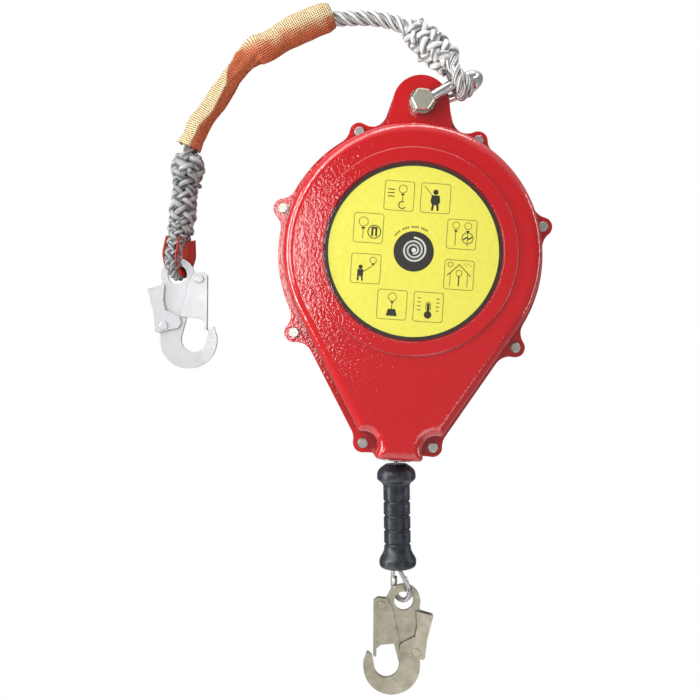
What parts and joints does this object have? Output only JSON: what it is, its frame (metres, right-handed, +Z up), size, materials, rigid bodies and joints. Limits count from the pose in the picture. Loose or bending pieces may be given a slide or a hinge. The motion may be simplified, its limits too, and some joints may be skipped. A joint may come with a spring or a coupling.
{
  "type": "self retracting lifeline",
  "caption": "Retractable fall arrester: teardrop housing with spring drum and shock brake, rope anchor sling, rubber grip and snap hooks.",
  "frame": {"origin": "centre of the rear cover's flat back face, on the drum's axis", "axes": "+Z up towards the lug, +X to the right seen from the front, the front faces -Y"},
  "size_m": [0.4785, 0.11, 0.8196],
  "materials": {
    "red_enamel": "gloss enamel over a cast orange-peel surface",
    "plate_print": "printed plastic disc with a black border",
    "zinc_steel": "zinc plated",
    "bolt_steel": "zinc plated, warm grey",
    "shackle_steel": "bright",
    "bronze": "sintered",
    "outlet_steel": "turned and plated",
    "machined_steel": "machined",
    "drum_alloy": "cast",
    "case_steel": "black enamel",
    "spring_steel": "blued",
    "friction_lining": "pressed fibre",
    "wire_rope": "galvanised strand",
    "ferrule_alloy": "swaged",
    "thimble_steel": "bright",
    "black_rubber": "satin moulded",
    "harness_hook_steel": "nickel plated, warm grey",
    "anchor_hook_steel": "bright zinc",
    "grey_rope": "three-strand laid rope",
    "orange_sleeve": "open woven mesh",
    "red_thimble": "moulded"
  },
  "bodies": {
    "housing": {"front_cover": "red_enamel", "rear_cover": "red_enamel", "nameplate": "plate_print", "rim_screws": "zinc_steel", "rim_washers": "zinc_steel", "lug_bush": "bronze", "lug_bolt": "bolt_steel", "lug_nut": "bolt_steel", "outlet_bush": "outlet_steel", "main_shaft": "machined_steel", "shaft_nut": "zinc_steel", "thrust_washers": "zinc_steel", "lining_front": "friction_lining", "lining_rear": "friction_lining", "clamp_ring": "machined_steel", "brake_screws": "zinc_steel", "lead_cable": "wire_rope"},
    "drum": {"drum": "drum_alloy", "drum_bushes": "bronze", "cable_coil": "wire_rope", "cable_stop": "machined_steel", "spring_case": "case_steel", "case_cover": "case_steel", "case_screws": "zinc_steel", "power_spring": "spring_steel", "pawl_carrier": "machined_steel", "pawl_pins": "machined_steel", "pawl_springs": "zinc_steel"},
    "ratchet": {"ratchet_ring": "machined_steel"},
    "pawl_a": {"pawl_a": "machined_steel"},
    "pawl_b": {"pawl_b": "machined_steel"},
    "lifeline": {"cable_run": "wire_rope"},
    "grip": {"grip": "black_rubber", "cable_tail": "wire_rope", "cable_ferrule": "ferrule_alloy", "cable_eye": "wire_rope", "cable_thimble": "thimble_steel"},
    "harness_hook": {"harness_hook_frame": "harness_hook_steel", "harness_hook_rivets": "harness_hook_steel", "harness_hook_springs": "harness_hook_steel"},
    "harness_gate": {"harness_hook_gate": "harness_hook_steel"},
    "harness_lever": {"harness_hook_lever": "harness_hook_steel"},
    "shackle": {"shackle": "shackle_steel"},
    "sling_head": {"sling_head": "grey_rope"},
    "sling_shoulder": {"sling_rope_upper": "grey_rope", "sleeve_upper": "orange_sleeve"},
    "sling_arm": {"sling_rope_lower": "grey_rope", "sleeve_lower": "orange_sleeve"},
    "sling_tail": {"sling_tail": "grey_rope", "sling_thimble": "red_thimble"},
    "anchor_hook": {"anchor_hook_frame": "anchor_hook_steel", "anchor_hook_rivets": "anchor_hook_steel", "anchor_hook_springs": "anchor_hook_steel"},
    "anchor_gate": {"anchor_hook_gate": "anchor_hook_steel"},
    "anchor_lever": {"anchor_hook_lever": "anchor_hook_steel"}
  },
  "joints": [
    {"name": "lifeline_payout", "type": "slide", "parent": "housing", "child": "lifeline", "axis": [0, 0, -1], "range_m": [0, 0.1308]},
    {"name": "drum_spin", "type": "hinge", "parent": "housing", "child": "drum", "pos_m": [0, -0.054, 0], "axis": [0, 1, 0], "range_deg": [-75, 0]},
    {"name": "ratchet_slip", "type": "hinge", "parent": "housing", "child": "ratchet", "pos_m": [0, -0.09, 0], "axis": [0, 1, 0], "continuous": true},
    {"name": "pawl_a_swing", "type": "hinge", "parent": "drum", "child": "pawl_a", "pos_m": [0, -0.0905, 0.048], "axis": [0, 1, 0], "range_deg": [0, 15.2]},
    {"name": "pawl_b_swing", "type": "hinge", "parent": "drum", "child": "pawl_b", "pos_m": [0, -0.0905, -0.048], "axis": [0, 1, 0], "range_deg": [0, 15.2]},
    {"name": "grip_swing", "type": "hinge", "parent": "lifeline", "child": "grip", "pos_m": [0, -0.054, -0.248], "axis": [0, 1, 0], "range_deg": [-5, 14]},
    {"name": "harness_hook_swing", "type": "hinge", "parent": "grip", "child": "harness_hook", "pos_m": [0.0205, -0.054, -0.4144], "axis": [0, 1, 0], "range_deg": [-35, 35]},
    {"name": "harness_gate_open", "type": "hinge", "parent": "harness_hook", "child": "harness_gate", "pos_m": [-0.00596, -0.054, -0.42083], "axis": [0, -1, 0], "range_deg": [0, 20]},
    {"name": "harness_lever_squeeze", "type": "hinge", "parent": "harness_hook", "child": "harness_lever", "pos_m": [0.0392, -0.054, -0.47437], "axis": [0, -1, 0], "range_deg": [0, 12]},
    {"name": "shackle_swing", "type": "hinge", "parent": "housing", "child": "shackle", "pos_m": [0, -0.054, 0.182], "axis": [0, -1, 0], "range_deg": [-20, 12]},
    {"name": "sling_eye_swing", "type": "hinge", "parent": "shackle", "child": "sling_head", "pos_m": [0.04201, -0.0715, 0.20939], "axis": [0, 1, 0], "range_deg": [-4, 20]},
    {"name": "sling_bend_upper", "type": "hinge", "parent": "sling_head", "child": "sling_shoulder", "pos_m": [-0.064, -0.054, 0.282], "axis": [0, 1, 0], "range_deg": [-4, 25]},
    {"name": "sling_bend_middle", "type": "hinge", "parent": "sling_shoulder", "child": "sling_arm", "pos_m": [-0.211, -0.054, 0.219], "axis": [0, 1, 0], "range_deg": [-4, 25]},
    {"name": "sling_bend_lower", "type": "hinge", "parent": "sling_arm", "child": "sling_tail", "pos_m": [-0.273, -0.054, 0.104], "axis": [0, 1, 0], "range_deg": [-4, 20]},
    {"name": "anchor_hook_swing", "type": "hinge", "parent": "sling_tail", "child": "anchor_hook", "pos_m": [-0.2768, -0.054, -0.0427], "axis": [0, 1, 0], "range_deg": [-30, 30]},
    {"name": "anchor_gate_open", "type": "hinge", "parent": "anchor_hook", "child": "anchor_gate", "pos_m": [-0.24976, -0.054, -0.04585], "axis": [0, 1, 0], "range_deg": [0, 20]},
    {"name": "anchor_lever_squeeze", "type": "hinge", "parent": "anchor_hook", "child": "anchor_lever", "pos_m": [-0.28805, -0.054, -0.1045], "axis": [0, 1, 0], "range_deg": [0, 12]}
  ],
  "couplings": [
    {"joint": "drum_spin", "follows": "lifeline_payout", "rad_per_m": -10},
    {"joint": "harness_lever_squeeze", "follows": "harness_gate_open", "ratio": 0.6},
    {"joint": "anchor_lever_squeeze", "follows": "anchor_gate_open", "ratio": 0.6}
  ]
}
